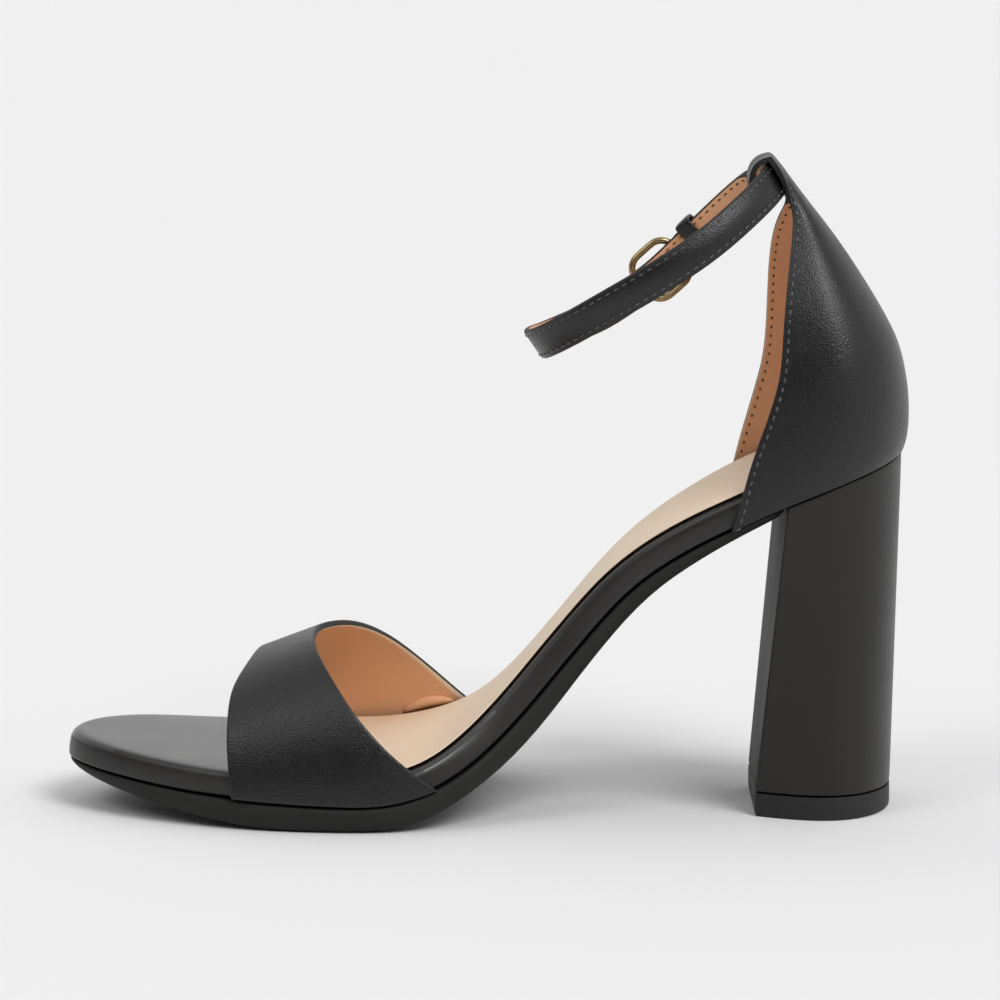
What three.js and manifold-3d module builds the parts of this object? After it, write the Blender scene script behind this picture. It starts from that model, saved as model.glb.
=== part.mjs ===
// Block-heel ankle-strap sandal, right foot.
// The toe points to -X, the inner side of the foot is -Y and up is +Z. The origin is the middle of the
// heel tip's underside, on the ground. Lengths are millimetres and angles are degrees.
import * as THREE from 'three';
import { mergeVertices } from 'three/addons/utils/BufferGeometryUtils.js';
import Module from 'manifold-3d';

const { PI, sin, cos, sqrt, abs, min, max } = Math;
const radians = THREE.MathUtils.degToRad;
const mix = THREE.MathUtils.lerp;

// The last: overall sizes of the foot form.
const footLength = 211.4; // toe tip to heel end of the footbed, along the ground
const ballWidth = 79; // widest part of the footbed
const heelSeatRise = 84.3; // heel end of the footbed's underside above the ball's
const toeSpring = 6.0; // lift of the toe tip
const toeRound = 52; // length over which the toe closes
const heelRound = 26; // length over which the heel closes
const heelEnd = 17.9; // heel end of the footbed behind the origin
const clearance = 0.3; // between pieces that touch
const toeTip = heelEnd - footLength;

// The sole and the footbed.
const soleThickness = 6.6;
const soleBand = 2.0; // upright upper part of the outsole's edge
const soleTurn = 3.2; // how far the outsole's edge turns in to the tread
const soleFlange = 2.0; // how far the outsole stands out under the front band
const footbedThickness = 6.8;
const footbedNose = 2.2; // rounding of the footbed's upper edge
const sockThickness = 0.9;
const sockMargin = 2.4; // black edge left round the sock
const sockHeelMargin = 0.8; // the same inside the heel counter
const sockRim = 0.5; // rounding of the sock's upper edge
const sockStart = 0.285; // front end of the sock, a share of the foot length

// The front band.
const bandWall = 1.8;
const upperSeat = 0.45; // room between the upper's inside and the footbed's edge
const instepHeight = 42.6; // inside of the band above the ground at its rear edge
const instepPlace = 0.3; // where that height is taken, a share of the foot length
const instepSlope = 0.38; // rise of the instep over run
const bandSquareness = 0.8; // below 1 makes the band's section fuller than an ellipse

// The heel counter with the tab that folds over the ankle strap.
const counterWall = 2.0;
const counterDepth = 42.8; // front edge to heel end at the counter's foot, along the ground
const counterHeight = 66; // heel end of the seat to the lower edge of the tab
const counterTop = 0.95; // where the counter goes over into the tab, a share of counterHeight
const tabWall = 1.4;

// The ankle strap, its buckle and keeper.
const strapWidth = 8.5;
const strapThickness = 1.6;
const ringLength = 74.2; // front to rear of the strap ring, in its own slope
const ringWidth = 52;
const ringSlope = 34.9;
const ringRear = { x: -12.6, z: 161.2 };
const tailLength = 29;
const tailTip = 6; // length over which the tail's end narrows
const buckleTurn = 0.787; // hinge bar of the buckle round the ring, 0 at the heel and 0.5 in front
const buckleLength = 15;
const buckleWidth = 15.2;
const buckleWire = 2.0;
const buckleCorner = 4.2;
const prongWire = 1.4;
const prongHole = 2.6;
const prongHoleStretch = 1.5; // the hole's length over its width
const keeperSpacing = 5;
const keeperLength = 4.5;
const keeperWall = 1.1;

// The heel.
const tipThickness = 6.0;
const tipLength = 35.5;
const tipWidth = 49;
const tipFrontShare = 0.755; // width at the breast over the full width
const breastSetback = 28.4; // breast to heel end, under the footbed
const heelInset = 0.5; // heel block's rim inside the counter's outside
const tipChamfer = 0.5;

// The last's sections from toe to heel. at: share of the foot length. rise: share of heelSeatRise.
// spring: share of toeSpring. inner, outer: half widths, shares of ballWidth. roll: degrees, inner side up.
// sole: outsole thickness, share of soleThickness. flange: share of soleFlange.
const lastSections = [
  { at: 0.0, rise: 0, spring: 1, inner: 0.355, outer: 0.532, roll: 0, sole: 0.32, flange: -0.35 },
  { at: 0.064, rise: 0, spring: 0.7, inner: 0.38, outer: 0.527, roll: 0, sole: 0.6, flange: -0.2 },
  { at: 0.149, rise: 0, spring: 0.35, inner: 0.418, outer: 0.5, roll: 0, sole: 0.88, flange: 0.25 },
  { at: 0.244, rise: 0, spring: 0.11, inner: 0.462, outer: 0.5, roll: 0, sole: 1.12, flange: 0.9 },
  { at: 0.329, rise: 0.0, spring: 0, inner: 0.494, outer: 0.515, roll: 0, sole: 1.02, flange: 1 },
  { at: 0.386, rise: 0.0, spring: 0, inner: 0.494, outer: 0.523, roll: 0, sole: 1.02, flange: 1 },
  { at: 0.423, rise: 0.016, spring: 0, inner: 0.481, outer: 0.521, roll: 0.4, sole: 1.05, flange: 1 },
  { at: 0.455, rise: 0.04, spring: 0, inner: 0.456, outer: 0.512, roll: 1, sole: 0.88, flange: 0.9 },
  { at: 0.505, rise: 0.107, spring: 0, inner: 0.399, outer: 0.484, roll: 3, sole: 0.85, flange: 0.6 },
  { at: 0.555, rise: 0.221, spring: 0, inner: 0.342, outer: 0.445, roll: 4.2, sole: 0.83, flange: 0.2 },
  { at: 0.624, rise: 0.427, spring: 0, inner: 0.297, outer: 0.4, roll: 4.5, sole: 0.7, flange: 0.1 },
  { at: 0.682, rise: 0.597, spring: 0, inner: 0.291, outer: 0.375, roll: 3.7, sole: 0.66, flange: 0.1 },
  { at: 0.741, rise: 0.716, spring: 0, inner: 0.31, outer: 0.36, roll: 1.8, sole: 0.56, flange: 0.1 },
  { at: 0.83, rise: 0.84, spring: 0, inner: 0.329, outer: 0.349, roll: 0, sole: 0.37, flange: 0 },
  { at: 0.905, rise: 0.918, spring: 0, inner: 0.332, outer: 0.337, roll: 0, sole: 0.3, flange: 0 },
  { at: 1.0, rise: 1, spring: 0, inner: 0.329, outer: 0.329, roll: 0, sole: 0.3, flange: 0 },
];

// The front band's edges round the foot, from its inner foot (0) over the instep to its outer foot (1).
// front, rear: shares of the foot length.
const bandEdges = [
  { around: 0.0, front: 0.208, rear: 0.451 },
  { around: 0.06, front: 0.206, rear: 0.415 },
  { around: 0.12, front: 0.204, rear: 0.383 },
  { around: 0.2, front: 0.203, rear: 0.35 },
  { around: 0.33, front: 0.207, rear: 0.318 },
  { around: 0.45, front: 0.223, rear: 0.304 },
  { around: 0.55, front: 0.234, rear: 0.309 },
  { around: 0.66, front: 0.244, rear: 0.348 },
  { around: 0.8, front: 0.254, rear: 0.409 },
  { around: 0.9, front: 0.259, rear: 0.459 },
  { around: 1.0, front: 0.263, rear: 0.515 },
];

// The counter's inside from its foot up to the tab. up: share of counterHeight above the seat, at the rear.
// rear, front: places of the rear and of the front edges, shares of counterDepth ahead of the foot's rear.
// dip: how far the front lies below the rear, share of the seat's own drop. wide: share of the seat's width.
// lead: how far the outer side's front edge lies ahead of the inner side's, a share of counterDepth.
const counterSections = [
  { up: 0.0, rear: 0.0, front: 1.0, dip: 1, wide: 1.0, lead: 0 },
  { up: 0.055, rear: -0.022, front: 0.955, dip: 0.85, wide: 1.018, lead: 0 },
  { up: 0.135, rear: -0.032, front: 0.9, dip: 0.61, wide: 1.024, lead: 0 },
  { up: 0.245, rear: -0.024, front: 0.815, dip: 0.455, wide: 1.0, lead: 0.017 },
  { up: 0.41, rear: 0.03, front: 0.72, dip: 0.336, wide: 0.935, lead: 0.038 },
  { up: 0.54, rear: 0.13, front: 0.697, dip: 0.126, wide: 0.835, lead: 0.047 },
  { up: 0.66, rear: 0.242, front: 0.676, dip: 0.03, wide: 0.7, lead: 0.066 },
  { up: 0.77, rear: 0.352, front: 0.652, dip: 0, wide: 0.55, lead: 0.08 },
  { up: 0.865, rear: 0.456, front: 0.635, dip: 0, wide: 0.4, lead: 0.07 },
  { up: 0.95, rear: 0.556, front: 0.63, dip: 0.016, wide: 0.3, lead: 0.02 },
];

// How far the strap ring hangs below its own slope, in millimetres. ahead: share of the way from the heel
// to the front.
const ringSags = [
  { ahead: 0.0, inner: 0.0, outer: 0.0 },
  { ahead: 0.1, inner: 1.0, outer: 0.4 },
  { ahead: 0.3, inner: 2.2, outer: 4.2 },
  { ahead: 0.5, inner: 1.7, outer: 7.5 },
  { ahead: 0.7, inner: 0.7, outer: 7.4 },
  { ahead: 0.86, inner: 0.2, outer: 4.4 },
  { ahead: 0.96, inner: 0.0, outer: 1.8 },
  { ahead: 1.0, inner: 0.0, outer: 0.0 },
];

const leather = { roughness: 0.5, metalness: 0 };
const metal = { color: 0xa98a54, roughness: 0.35, metalness: 1 };

// Reads a column of a table at any place between its rows, along a smooth curve through them.
function column(rows, key, name) {
  const slopeAt = (i) => {
    const before = rows[max(i - 1, 0)];
    const after = rows[min(i + 1, rows.length - 1)];
    return (after[name] - before[name]) / (after[key] - before[key]);
  };
  return (where) => {
    const place = min(max(where, rows[0][key]), rows[rows.length - 1][key]);
    const i = max(rows.findIndex((row) => row[key] >= place), 1);
    const [a, b] = [rows[i - 1], rows[i]];
    const span = b[key] - a[key];
    const t = (place - a[key]) / span;
    const bendA = slopeAt(i - 1) * span - (b[name] - a[name]);
    const bendB = (b[name] - a[name]) - slopeAt(i) * span;
    return mix(a[name], b[name], t) + t * (1 - t) * (bendA * (1 - t) + bendB * t);
  };
}

const lastColumn = Object.fromEntries(
  Object.keys(lastSections[0]).map((name) => [name, column(lastSections, 'at', name)]),
);

// The spine: the footbed's underside along its middle, sampled by arc length. Past its ends it runs straight.
const groundLift = soleThickness + clearance;
const spineHeight = (at) =>
  groundLift + heelSeatRise * lastColumn.rise(at) + toeSpring * lastColumn.spring(at);
const spineSamples = [];
const spineSteps = 480;
for (let i = 0; i <= spineSteps; i += 1) {
  const at = i / spineSteps;
  const sample = { at, x: toeTip + at * footLength, z: spineHeight(at), arc: 0 };
  const last = spineSamples[i - 1];
  if (last) {
    sample.arc = last.arc + Math.hypot(sample.x - last.x, sample.z - last.z);
  }
  spineSamples.push(sample);
}
const spineLength = spineSamples[spineSteps].arc;

function spineAt(arc) {
  const found = spineSamples.findIndex((sample) => sample.arc >= arc);
  const i = min(max(found < 0 ? spineSteps : found, 1), spineSteps);
  const [a, b] = [spineSamples[i - 1], spineSamples[i]];
  const t = (arc - a.arc) / (b.arc - a.arc);
  const before = spineSamples[max(i - 4, 0)];
  const after = spineSamples[min(i + 3, spineSteps)];
  return {
    at: mix(a.at, b.at, t),
    x: mix(a.x, b.x, t),
    z: mix(a.z, b.z, t),
    slope: Math.atan2(after.z - before.z, after.x - before.x),
  };
}

// The spine's arc length at a share of the foot length, and nearest to a point seen from the side.
const arcAt = (at) => spineSamples[Math.round(min(max(at, 0), 1) * spineSteps)].arc;
function arcNear(x, z) {
  let best = spineSamples[0];
  let nearest = Infinity;
  for (const sample of spineSamples) {
    const distance = Math.hypot(sample.x - x, sample.z - z);
    if (distance < nearest) {
      nearest = distance;
      best = sample;
    }
  }
  return best.arc;
}

// The underside's height at any place along the ground.
const seatSlope = Math.tan(spineAt(spineLength).slope);
const undersideAt = (x) => spineHeight((x - toeTip) / footLength) + max(0, x - heelEnd) * seatSlope;

// A point from its place along the spine, across it (inner side negative) and above it.
function place(arc, across, height) {
  const { at, x, z, slope } = spineAt(arc);
  const roll = radians(lastColumn.roll(at));
  const up = height * cos(roll) - across * sin(roll);
  return new THREE.Vector3(x - up * sin(slope), across * cos(roll) + height * sin(roll), z + up * cos(slope));
}

// The footbed's half width, closed round at toe and heel. side is -1 for the inner side, 1 for the outer.
const roundEnd = (t) => (t >= 1 ? 1 : sqrt(max(0, 1 - (1 - max(t, 0)) ** 2)));
function halfWidth(arc, side) {
  const share = side < 0 ? lastColumn.inner : lastColumn.outer;
  return ballWidth * share(spineAt(arc).at) * roundEnd(arc / toeRound) * roundEnd((spineLength - arc) / heelRound);
}

// Stations along the spine: close together where toe and heel close, even between.
const toeSteps = 9;
const middleSteps = 19;
const heelSteps = 8;
const stations = [];
for (let i = 0; i < toeSteps; i += 1) {
  stations.push(toeRound * (1 - cos((i / toeSteps) * (PI / 2))));
}
for (let i = 0; i < middleSteps; i += 1) {
  stations.push(mix(toeRound, spineLength - heelRound, i / middleSteps));
}
for (let i = 0; i <= heelSteps; i += 1) {
  stations.push(spineLength - heelRound * (1 - sin((i / heelSteps) * (PI / 2))));
}

// One side of the outline, moved in by a margin, as places along and across the spine. An end is round
// where the outline closes there, and square where the piece is cut.
function outlineSide(arcs, side, margin) {
  return arcs.map((arc, i) => {
    const width = halfWidth(arc, side);
    const inset = typeof margin === 'function' ? margin(arc) : margin;
    if (width < 1e-6) {
      return { arc: arc + (arc < spineLength / 2 ? inset : -inset), across: 0 };
    }
    const before = max(arc - 0.4, 0);
    const after = min(arc + 0.4, spineLength);
    const along = after - before;
    const out = halfWidth(after, side) - halfWidth(before, side);
    const size = Math.hypot(along, out);
    const isCut = i === 0 || i === arcs.length - 1;
    const shift = isCut ? 0 : (inset * out) / size;
    const across = isCut ? width - inset : width - (inset * along) / size;
    return { arc: arc + shift, across: side * across };
  });
}

// Makes one closed solid from rings of points. The ends are closed by a fan, by a strip for a thin wall
// whose ring runs out along one face and back along the other, or by the ring shrinking to nothing.
function loft(rings, { ends = 'fan', closed = false } = {}) {
  const size = rings[0].length;
  const points = rings.flat();
  const faces = [];
  const quad = (a, b, c, d) => faces.push([a, b, c], [a, c, d]);
  const joins = closed ? rings.length : rings.length - 1;
  for (let k = 0; k < joins; k += 1) {
    const here = k * size;
    const next = ((k + 1) % rings.length) * size;
    for (let j = 0; j < size; j += 1) {
      const side = (j + 1) % size;
      quad(here + j, here + side, next + side, next + j);
    }
  }
  const closeEnd = (start, flip) => {
    const order = flip ? (a, b, c) => faces.push([a, c, b]) : (a, b, c) => faces.push([a, b, c]);
    if (ends === 'strip') {
      for (let j = 0; j < size / 2 - 1; j += 1) {
        const back = size - 1 - j;
        order(start + j, start + back, start + j + 1);
        order(start + j + 1, start + back, start + back - 1);
      }
      return;
    }
    const middle = new THREE.Vector3();
    points.slice(start, start + size).forEach((point) => middle.addScaledVector(point, 1 / size));
    points.push(middle);
    for (let j = 0; j < size; j += 1) {
      order(start + j, points.length - 1, start + ((j + 1) % size));
    }
  };
  if (!closed) {
    closeEnd(0, false);
    closeEnd((rings.length - 1) * size, true);
  }
  return closedGeometry(points, faces);
}

// Joins equal points, drops faces without area and turns the faces outwards.
function closedGeometry(points, faces) {
  const raw = new THREE.BufferGeometry();
  raw.setAttribute('position', new THREE.Float32BufferAttribute(points.flatMap((p) => [p.x, p.y, p.z]), 3));
  raw.setIndex(faces.flat());
  const merged = mergeVertices(raw, 1e-4);
  const index = [];
  const old = merged.index.array;
  const at = (i) => new THREE.Vector3().fromBufferAttribute(merged.attributes.position, i);
  let volume = 0;
  for (let i = 0; i < old.length; i += 3) {
    const [a, b, c] = [old[i], old[i + 1], old[i + 2]];
    if (a !== b && b !== c && c !== a) {
      index.push(a, b, c);
      volume += at(a).dot(at(b).cross(at(c)));
    }
  }
  if (volume < 0) {
    index.reverse();
  }
  merged.setIndex(index);
  return merged;
}

// A layer that lies along the spine. rims: the rounded edge from top to bottom, as margins and heights.
const layerColumns = 5;
function layer(arcs, rims, shape = (point) => point) {
  const sides = rims.map((rim) => ({
    inner: outlineSide(arcs, -1, rim.margin),
    outer: outlineSide(arcs, 1, rim.margin),
    height: typeof rim.height === 'function' ? rim.height : () => rim.height,
  }));
  const top = sides[0];
  const bottom = sides[sides.length - 1];
  const middle = sides.slice(1, -1);
  const point = ({ arc, across }, height) => shape(place(arc, across, height(arc)));
  const row = (rim, i, share) => {
    const [a, b] = [rim.inner[i], rim.outer[i]];
    return point({ arc: mix(a.arc, b.arc, share), across: mix(a.across, b.across, share) }, rim.height);
  };
  const shares = Array.from({ length: layerColumns + 1 }, (_, c) => c / layerColumns);
  const rings = arcs.map((_, i) => [
    ...shares.map((share) => row(top, i, share)),
    ...middle.map((rim) => point(rim.outer[i], rim.height)),
    ...shares.map((share) => row(bottom, i, 1 - share)),
    ...middle.map((rim) => point(rim.inner[i], rim.height)).reverse(),
  ]);
  return loft(rings);
}

// A wall of even thickness outside a grid of inside points, rows by columns. foot sets the outside of the
// first row on what it stands on.
function wall(rows, thickness, foot = (point) => point) {
  const normalAt = (i, j) => {
    const up = rows[min(i + 1, rows.length - 1)][j].clone().sub(rows[max(i - 1, 0)][j]);
    const round = rows[i][min(j + 1, rows[i].length - 1)].clone().sub(rows[i][max(j - 1, 0)]);
    return round.cross(up).normalize();
  };
  const thick = typeof thickness === 'function' ? thickness : () => thickness;
  const outside = (point, i, j) => {
    const moved = point.clone().addScaledVector(normalAt(i, j), thick(i));
    return i === 0 ? foot(moved) : moved;
  };
  const rings = rows.map((row, i) => [...row, ...row.map((point, j) => outside(point, i, j)).reverse()]);
  return loft(rings, { ends: 'strip' });
}

// A section carried along a path. Each stop has a middle and the two directions of the section.
function sweep(stops, section, closed = false) {
  const rings = stops.map(({ middle, side, up, scale = 1 }) =>
    section.map(([p, q]) => middle.clone().addScaledVector(side, p * scale).addScaledVector(up, q)));
  return loft(rings, { closed });
}

const circle = (radius, count) =>
  Array.from({ length: count }, (_, i) => [radius * cos((2 * PI * i) / count), radius * sin((2 * PI * i) / count)]);
const flatSection = (width, thickness, corner) => {
  const [w, t] = [width / 2, thickness / 2];
  return [
    [-w, t - corner], [-w + corner, t], [w - corner, t], [w, t - corner],
    [w, corner - t], [w - corner, -t], [corner - w, -t], [-w, corner - t],
  ];
};

const sandal = new THREE.Group();
function add(name, geometry, look) {
  geometry.computeVertexNormals();
  const mesh = new THREE.Mesh(geometry, new THREE.MeshStandardMaterial(look));
  mesh.name = name;
  sandal.add(mesh);
}

// Footbed: insole board wrapped in black, with a rounded upper edge.
add('footbed', layer(stations, [
  { margin: footbedNose, height: footbedThickness },
  { margin: footbedNose * 0.4, height: footbedThickness - footbedNose * 0.2 },
  { margin: footbedNose * 0.08, height: footbedThickness - footbedNose * 0.7 },
  { margin: 0, height: footbedThickness - footbedNose * 1.3 },
  { margin: 0, height: 0.6 },
  { margin: 0.3, height: 0 },
]), { ...leather, color: 0x1c1b1a, roughness: 0.4 });

// Outsole: from the toe to the heel breast, pressed flat where it stands on the ground.
const breastTop = heelEnd - breastSetback;
const soleEnd = arcAt((breastTop - clearance - toeTip) / footLength);
const soleDepth = (share) => (arc) => -clearance - share * soleThickness * lastColumn.sole(spineAt(arc).at);
const soleMargin = (margin) => (arc) => margin - soleFlange * lastColumn.flange(spineAt(arc).at);
const soleStations = [...stations.filter((arc) => arc < soleEnd - 3), soleEnd];
add('outsole', layer(soleStations, [
  { margin: soleMargin(0.3), height: -clearance },
  { margin: soleMargin(0), height: -clearance - 0.3 },
  { margin: soleMargin(0), height: soleDepth(soleBand / soleThickness) },
  { margin: soleMargin(soleTurn * 0.25), height: soleDepth(0.62) },
  { margin: soleMargin(soleTurn * 0.65), height: soleDepth(0.88) },
  { margin: soleMargin(soleTurn), height: soleDepth(1) },
], (point) => new THREE.Vector3(min(point.x, breastTop - clearance), point.y, max(point.z, 0))),
{ color: 0x161514, roughness: 0.8, metalness: 0 });

// Sock: the cream lining on the footbed, from under the band to the heel.
const counterStart = arcAt((heelEnd - counterDepth - toeTip) / footLength);
const sockInset = (arc) =>
  mix(sockMargin, sockHeelMargin, THREE.MathUtils.smoothstep(arc, counterStart - 12, counterStart + 8));
const sockStations = [arcAt(sockStart), ...stations.filter((arc) => arc > arcAt(sockStart) + 3)];
const sockFoot = footbedThickness + clearance;
add('sock', layer(sockStations, [
  { margin: (arc) => sockInset(arc) + sockRim, height: sockFoot + sockThickness },
  { margin: sockInset, height: sockFoot + sockThickness * 0.6 },
  { margin: sockInset, height: sockFoot },
]), { color: 0xe9d2b4, roughness: 0.7, metalness: 0 });

// Front band: follows the last from the footbed's inner edge over the instep to its outer edge.
const bandFront = column(bandEdges, 'around', 'front');
const bandRear = column(bandEdges, 'around', 'rear');
const bandRows = 30;
const bandColumns = 8;
const wallReach = 10; // height over which the band hugs the footbed's edge
function bandPoint(around, backward) {
  const at = mix(bandFront(around), bandRear(around), backward);
  const x = toeTip + at * footLength;
  const foot = spineHeight(at);
  const crown = instepHeight + (at - instepPlace) * footLength * instepSlope;
  const angle = PI * around;
  const rise = (crown - foot) * sin(angle);
  const side = around < 0.5 ? -1 : 1;
  const width = halfWidth(arcNear(x, foot + min(rise, wallReach)), side) + upperSeat;
  const across = side * width * abs(cos(angle)) ** bandSquareness;
  const roll = radians(lastColumn.roll(at));
  const lean = (across * Math.tan(roll)) / cos(spineAt(arcNear(x, foot)).slope);
  return new THREE.Vector3(x, across + min(rise, wallReach) * sin(roll), foot + clearance / 2 + rise - lean);
}
const bandGrid = [];
for (let i = 0; i <= bandRows; i += 1) {
  const row = [];
  for (let j = 0; j <= bandColumns; j += 1) {
    row.push(bandPoint(i / bandRows, j / bandColumns));
  }
  bandGrid.push(row);
}
add('vamp_strap', wall(bandGrid, bandWall), { ...leather, color: 0x1b1b1c });

// Heel counter: a wall round the heel from the footbed's underside up to the tab, and the tab, which runs
// up outside the ankle strap, over it and down again inside.
const ringDirection = new THREE.Vector3(-cos(radians(ringSlope)), 0, -sin(radians(ringSlope)));
const ringNormal = new THREE.Vector3(-sin(radians(ringSlope)), 0, cos(radians(ringSlope)));
const ringBack = new THREE.Vector3(ringRear.x, 0, ringRear.z);
const seatRear = spineAt(spineLength + upperSeat);
const frontFoot = spineAt(counterStart);
const planStations = [counterStart, ...stations.filter((arc) => arc > counterStart)];
const planSide = (side) => outlineSide(planStations, side, -upperSeat).map(({ arc, across }) => {
  const foot = spineAt(arc);
  return { across, back: (foot.x - frontFoot.x) / (seatRear.x - frontFoot.x), z: foot.z };
});
const heelPlan = [...planSide(-1), ...planSide(1).reverse().slice(1)];
const counterColumn = (name) => column(counterSections, 'up', name);
const [counterRear, counterFront] = [counterColumn('rear'), counterColumn('front')];
const [counterDip, counterWide] = [counterColumn('dip'), counterColumn('wide')];
const counterLead = counterColumn('lead');
function counterRow(up) {
  const rearX = seatRear.x - counterDepth * counterRear(up);
  const innerFrontX = seatRear.x - counterDepth * counterFront(up);
  const outerFrontX = innerFrontX - counterDepth * counterLead(up);
  const rearZ = seatRear.z + counterHeight * up;
  return heelPlan.map(({ across, back, z }) => new THREE.Vector3(
    mix(across > 0 ? outerFrontX : innerFrontX, rearX, back),
    across * counterWide(up),
    rearZ - counterDip(up) * (seatRear.z - z),
  ));
}
// The tab's inside from the counter over the strap, at the rear middle. out: outwards from the strap's
// middle; up: along the strap's width from its middle. Both are millimetres. half: half the tab's width.
// bow: how far its edges lie ahead of its middle.
const tabSections = [
  { out: strapThickness / 2 + clearance * 2, up: -2.5, half: 7.4, bow: 1.6 },
  { out: strapThickness / 2 + clearance * 2, up: 1.5, half: 7.0, bow: 1.0 },
  { out: strapThickness / 2 + clearance, up: strapWidth / 2 + clearance, half: 6.8, bow: 0.8 },
  { out: 0, up: strapWidth / 2 + clearance * 1.7, half: 6.7, bow: 0.7 },
  { out: -2.6, up: strapWidth / 2 + clearance * 1.4, half: 6.6, bow: 0.7 },
  { out: -5.2, up: 2.2, half: 6.5, bow: 0.7 },
  { out: -6.2, up: -1.0, half: 6.4, bow: 0.7 },
  { out: -5.8, up: -4.0, half: 6.2, bow: 0.7 },
];
const counterGrid = [];
const counterRows = 16;
for (let i = 0; i <= counterRows; i += 1) {
  counterGrid.push(counterRow(counterTop * (i / counterRows)));
}
const strapOut = ringDirection.clone().negate();
for (const { out, up, half, bow } of tabSections) {
  const middle = ringBack.clone().addScaledVector(strapOut, out).addScaledVector(ringNormal, up);
  counterGrid.push(heelPlan.map((_, j) => {
    const across = (2 * j) / (heelPlan.length - 1) - 1;
    return middle.clone().add(new THREE.Vector3(-bow * across * across, half * across, 0));
  }));
}
const counterThickness = (i) => (i <= counterRows ? mix(counterWall, tabWall, (i / counterRows) ** 3) : tabWall);
const onSeat = (point) => point.setZ(undersideAt(point.x));
add('heel_counter', wall(counterGrid, counterThickness, onSeat), { ...leather, color: 0x1b1b1c });

// Ankle strap: one strip from the buckle's hinge bar back through the tab, round the ankle, up through
// the buckle and back over its own start. Turns count 0 at the heel, 0.25 inside, 0.5 in front, 0.75 outside.
const innerSag = column(ringSags, 'ahead', 'inner');
const outerSag = column(ringSags, 'ahead', 'outer');
function ringPoint(turn, out = 0) {
  const at = (t) => {
    const angle = 2 * PI * t;
    const ahead = (1 - cos(angle)) / 2;
    const drop = sin(angle) > 0 ? innerSag(ahead) : outerSag(ahead);
    const point = ringBack.clone().addScaledVector(ringDirection, ringLength * ahead);
    return point.add(new THREE.Vector3(0, (-ringWidth / 2) * sin(angle), -drop));
  };
  const forward = at(turn + 0.004).sub(at(turn - 0.004)).normalize();
  const outward = forward.clone().cross(ringNormal).normalize();
  const side = outward.clone().cross(forward).normalize();
  return { middle: at(turn).addScaledVector(outward, out), forward, up: outward, side };
}
const ringRound = PI * (ringLength + ringWidth) / 2;
const turnsOf = (length) => length / ringRound;
const layerRise = strapThickness + clearance;
const barReach = buckleLength - buckleWire;
const frontBarTurn = buckleTurn - turnsOf(barReach);
const strapStart = buckleTurn + turnsOf(buckleWire / 2 + clearance * 2);
const strapEnd = buckleTurn + 1 + turnsOf(tailLength);
const strapStops = [];
const strapSteps = 80;
for (let i = 0; i <= strapSteps; i += 1) {
  const turn = mix(strapStart, strapEnd, i / strapSteps);
  const rise = THREE.MathUtils.smoothstep(turn, frontBarTurn + 1 + turnsOf(1), buckleTurn + 1 - turnsOf(2));
  const left = (strapEnd - turn) * ringRound;
  const scale = left < tailTip ? mix(0.35, 1, roundEnd(left / tailTip)) : 1;
  strapStops.push({ ...ringPoint(turn, layerRise * rise), scale });
}
const strapSolid = sweep(strapStops, flatSection(strapWidth, strapThickness, 0.4));

// The buckle's own directions: from the hinge bar to the front bar, across the strap, and outwards.
const hinge = ringPoint(buckleTurn);
const frontBar = ringPoint(frontBarTurn, layerRise + (buckleWire - strapThickness) / 2 + clearance);
const buckleAlong = frontBar.middle.clone().sub(hinge.middle).normalize();
const buckleAcross = hinge.side.clone().addScaledVector(buckleAlong, -hinge.side.dot(buckleAlong)).normalize();
const buckleOut = buckleAlong.clone().cross(buckleAcross).normalize();
if (buckleOut.dot(hinge.up) < 0) {
  buckleOut.negate();
}
const bucklePoint = (along, across, out) => hinge.middle.clone()
  .addScaledVector(buckleAlong, along).addScaledVector(buckleAcross, across).addScaledVector(buckleOut, out);

// Buckle frame: a rounded square of wire round the strap.
const railPlace = (buckleWidth - buckleWire) / 2;
const cornerSteps = 6;
const frameCorners = [
  { along: barReach - buckleCorner, across: railPlace - buckleCorner, from: 0 },
  { along: buckleCorner, across: railPlace - buckleCorner, from: 90 },
  { along: buckleCorner, across: buckleCorner - railPlace, from: 180 },
  { along: barReach - buckleCorner, across: buckleCorner - railPlace, from: 270 },
];
const frameStops = frameCorners.flatMap(({ along, across, from }) =>
  Array.from({ length: cornerSteps + 1 }, (_, i) => {
    const angle = radians(from + (90 * i) / cornerSteps);
    const up = buckleAlong.clone().multiplyScalar(cos(angle)).addScaledVector(buckleAcross, sin(angle));
    const middle = bucklePoint(along + buckleCorner * cos(angle), across + buckleCorner * sin(angle), 0);
    return { middle, side: buckleOut, up };
  }));
add('buckle_frame', sweep(frameStops, circle(buckleWire / 2, 8), true), metal);

// Prong: from the hinge bar up through the strap's hole and forward on to the front bar.
const overStrap = strapThickness * 1.5 + clearance * 2 + prongWire / 2;
const overBar = buckleWire / 2 + clearance + prongWire / 2;
const prongRoot = buckleWire / 2 + clearance + prongWire / 2;
const prongPath = new THREE.CatmullRomCurve3([
  bucklePoint(prongRoot, 0, -0.4),
  bucklePoint(prongRoot + 0.2, 0, overStrap * 0.6),
  bucklePoint(prongRoot + 1.6, 0, overStrap + 0.7),
  bucklePoint(barReach * 0.6, 0, overBar + 1.0),
  bucklePoint(barReach - 0.6, 0, overBar + 0.1),
  bucklePoint(barReach + buckleWire * 0.7, 0, overBar - 0.3),
]);
const prongStops = Array.from({ length: 15 }, (_, i) => {
  const forward = prongPath.getTangent(i / 14);
  return { middle: prongPath.getPoint(i / 14), side: buckleAcross, up: forward.cross(buckleAcross).normalize() };
});
add('buckle_prong', sweep(prongStops, circle(prongWire / 2, 6)), metal);

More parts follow.
